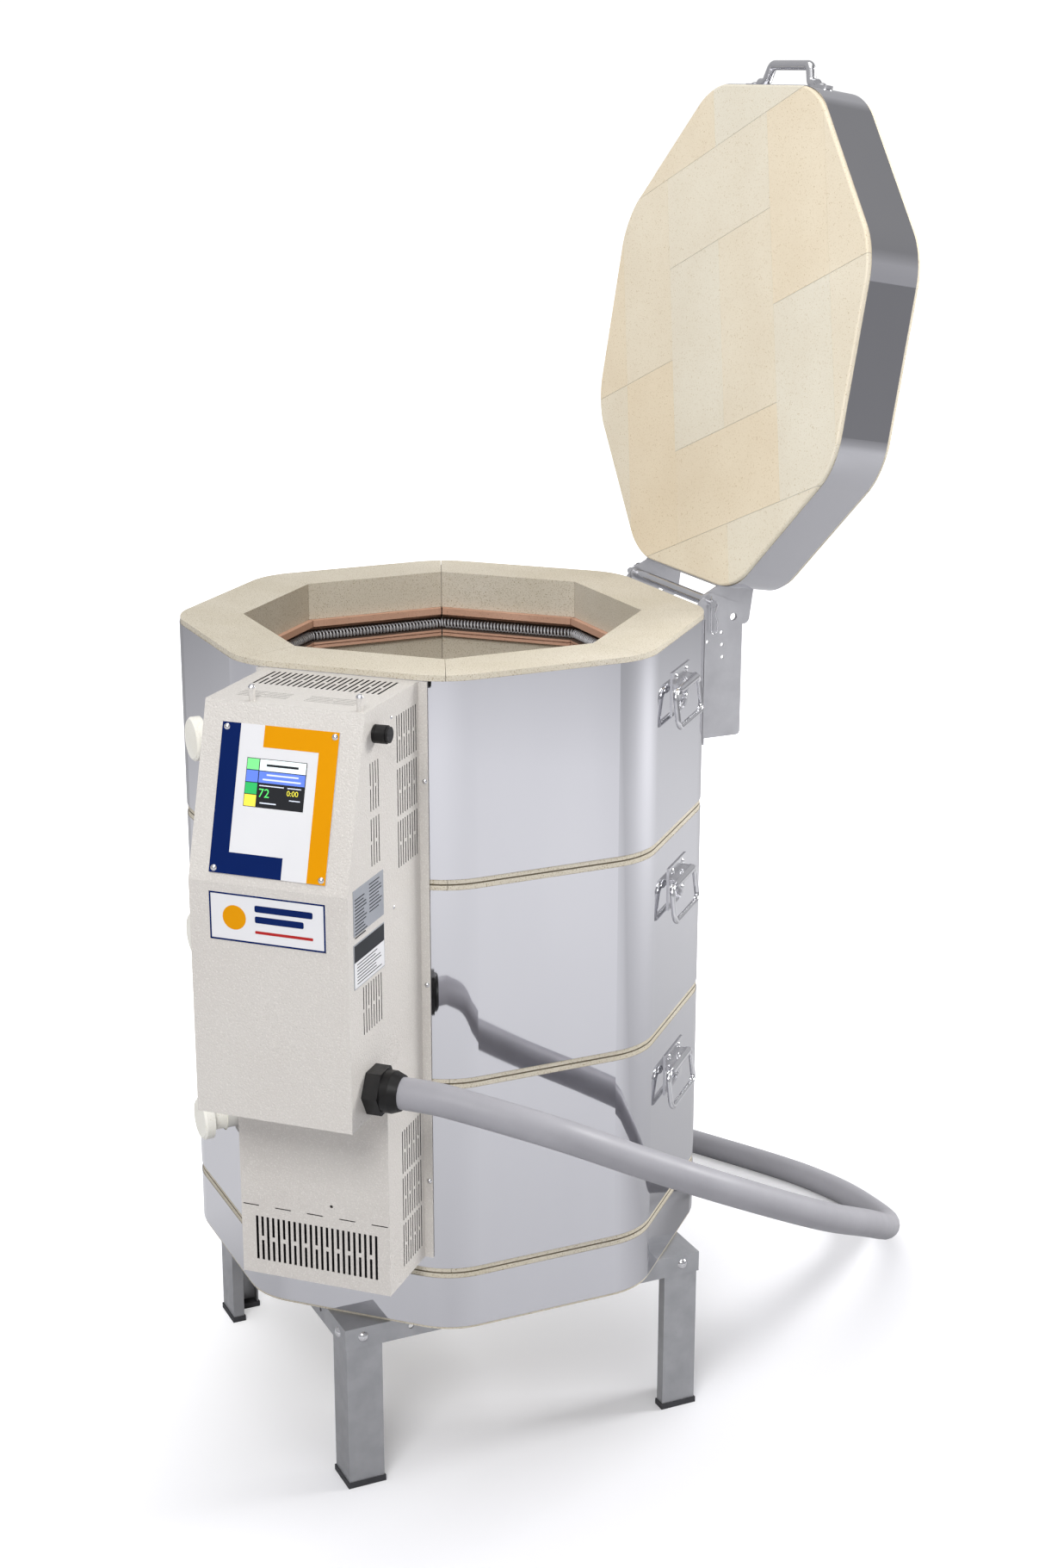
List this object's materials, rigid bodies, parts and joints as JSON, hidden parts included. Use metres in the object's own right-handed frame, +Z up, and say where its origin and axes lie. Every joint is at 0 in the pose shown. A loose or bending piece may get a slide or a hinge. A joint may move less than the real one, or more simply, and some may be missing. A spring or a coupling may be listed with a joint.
{
  "type": "electric pottery kiln",
  "caption": "Top-loading electric pottery kiln: octagonal brick rings in stainless jackets, hinged brick lid, side control box, low stand and supply cord.",
  "frame": {"origin": "middle of the footprint box at floor level, cord left out", "axes": "+Z up, +Y towards the lid hinge, +X to the right seen with the hinge at the back"},
  "size_m": [1.0858, 1.0915, 1.5684],
  "materials": {
    "galvanised_steel": "satin galvanised sheet",
    "rubber_foot": "matt",
    "zinc_hardware": "bright zinc plate",
    "firebrick": "porous insulating brick, speckled",
    "stainless": "polished stainless sheet",
    "holder_ceramic": "unglazed, fired clay",
    "element_wire": "oxidised resistance wire",
    "white_ceramic": "matt white ceramic",
    "powder_coat": "fine textured powder coat",
    "panel_face": "printed overlay, semi gloss",
    "screen_glass": "dark cover glass",
    "black_plastic": "moulded",
    "label_face": "printed foil",
    "relay_case": "moulded case",
    "transformer_core": "varnished laminations",
    "cord_jacket": "smooth grey jacket",
    "plug_shell": "moulded"
  },
  "bodies": {
    "kiln_body": {"stand_rails": "galvanised_steel", "stand_legs": "galvanised_steel", "hinge_bracket_left": "galvanised_steel", "hinge_bracket_right": "galvanised_steel", "leg_feet": "rubber_foot", "stand_bolts": "zinc_hardware", "handle_bases": "zinc_hardware", "handle_rivets": "zinc_hardware", "hinge_rod": "zinc_hardware", "hinge_spacer": "zinc_hardware", "ring_clip": "zinc_hardware", "hitch_clip": "zinc_hardware", "hinge_screws": "zinc_hardware", "control_plate_screws": "zinc_hardware", "cover_screws": "zinc_hardware", "thumb_screws": "zinc_hardware", "floor_slab": "firebrick", "ring_bricks_1": "firebrick", "ring_bricks_2": "firebrick", "ring_bricks_3": "firebrick", "floor_band": "stainless", "ring_jacket_1": "stainless", "ring_jacket_2": "stainless", "ring_jacket_3": "stainless", "element_holders_1": "holder_ceramic", "element_holders_2": "holder_ceramic", "element_holders_3": "holder_ceramic", "heating_elements_1": "element_wire", "heating_elements_2": "element_wire", "heating_elements_3": "element_wire", "thermocouple": "white_ceramic", "terminal_bushings": "white_ceramic", "element_cover_box": "powder_coat", "control_housing": "powder_coat", "control_plate": "panel_face", "sign_plate": "panel_face", "touchscreen": "screen_glass", "fuse_holder": "black_plastic", "cord_gland": "black_plastic", "terminal_block": "black_plastic", "rating_plates": "label_face", "relays": "relay_case", "transformer": "transformer_core", "supply_cord": "cord_jacket", "plug": "plug_shell"},
    "lid": {"lid_slab": "firebrick", "lid_band": "stainless", "lid_bracket": "galvanised_steel", "lid_handle": "zinc_hardware", "lid_screws": "zinc_hardware"},
    "ring_bail_1": {"ring_bail_1": "zinc_hardware"},
    "ring_bail_2": {"ring_bail_2": "zinc_hardware"},
    "ring_bail_3": {"ring_bail_3": "zinc_hardware"},
    "ring_bail_4": {"ring_bail_4": "zinc_hardware"},
    "ring_bail_5": {"ring_bail_5": "zinc_hardware"},
    "ring_bail_6": {"ring_bail_6": "zinc_hardware"},
    "peep_plug_1": {"peep_plug_1": "white_ceramic"},
    "peep_plug_2": {"peep_plug_2": "white_ceramic"},
    "peep_plug_3": {"peep_plug_3": "white_ceramic"},
    "fuse_cap": {"fuse_cap": "black_plastic"}
  },
  "joints": [
    {"name": "lid_hinge", "type": "hinge", "parent": "kiln_body", "child": "lid", "pos_m": [-0.05749, 0.26861, 0.958], "axis": [1, 0, 0], "range_deg": [0, 99.4]},
    {"name": "bail_1_swing", "type": "hinge", "parent": "kiln_body", "child": "ring_bail_1", "pos_m": [0.15025, 0.16936, 0.9], "axis": [0.7071, -0.7071, 0], "range_deg": [0, 90]},
    {"name": "bail_2_swing", "type": "hinge", "parent": "kiln_body", "child": "ring_bail_2", "pos_m": [0.15025, 0.16936, 0.6714], "axis": [0.7071, -0.7071, 0], "range_deg": [0, 90]},
    {"name": "bail_3_swing", "type": "hinge", "parent": "kiln_body", "child": "ring_bail_3", "pos_m": [0.15025, 0.16936, 0.4428], "axis": [0.7071, -0.7071, 0], "range_deg": [0, 90]},
    {"name": "bail_4_swing", "type": "hinge", "parent": "kiln_body", "child": "ring_bail_4", "pos_m": [-0.26524, -0.24613, 0.9], "axis": [-0.7071, 0.7071, 0], "range_deg": [0, 90]},
    {"name": "bail_5_swing", "type": "hinge", "parent": "kiln_body", "child": "ring_bail_5", "pos_m": [-0.26524, -0.24613, 0.6714], "axis": [-0.7071, 0.7071, 0], "range_deg": [0, 90]},
    {"name": "bail_6_swing", "type": "hinge", "parent": "kiln_body", "child": "ring_bail_6", "pos_m": [-0.26524, -0.24613, 0.4428], "axis": [-0.7071, 0.7071, 0], "range_deg": [0, 90]},
    {"name": "peep_plug_1_pull", "type": "slide", "parent": "kiln_body", "child": "peep_plug_1", "axis": [0, -1, 0], "range_m": [0, 0.09]},
    {"name": "peep_plug_2_pull", "type": "slide", "parent": "kiln_body", "child": "peep_plug_2", "axis": [0, -1, 0], "range_m": [0, 0.09]},
    {"name": "peep_plug_3_pull", "type": "slide", "parent": "kiln_body", "child": "peep_plug_3", "axis": [0, -1, 0], "range_m": [0, 0.09]},
    {"name": "fuse_cap_turn", "type": "hinge", "parent": "kiln_body", "child": "fuse_cap", "pos_m": [0.29606, -0.25052, 0.926], "axis": [0.7071, 0.7071, 0], "range_deg": [0, 45]}
  ]
}
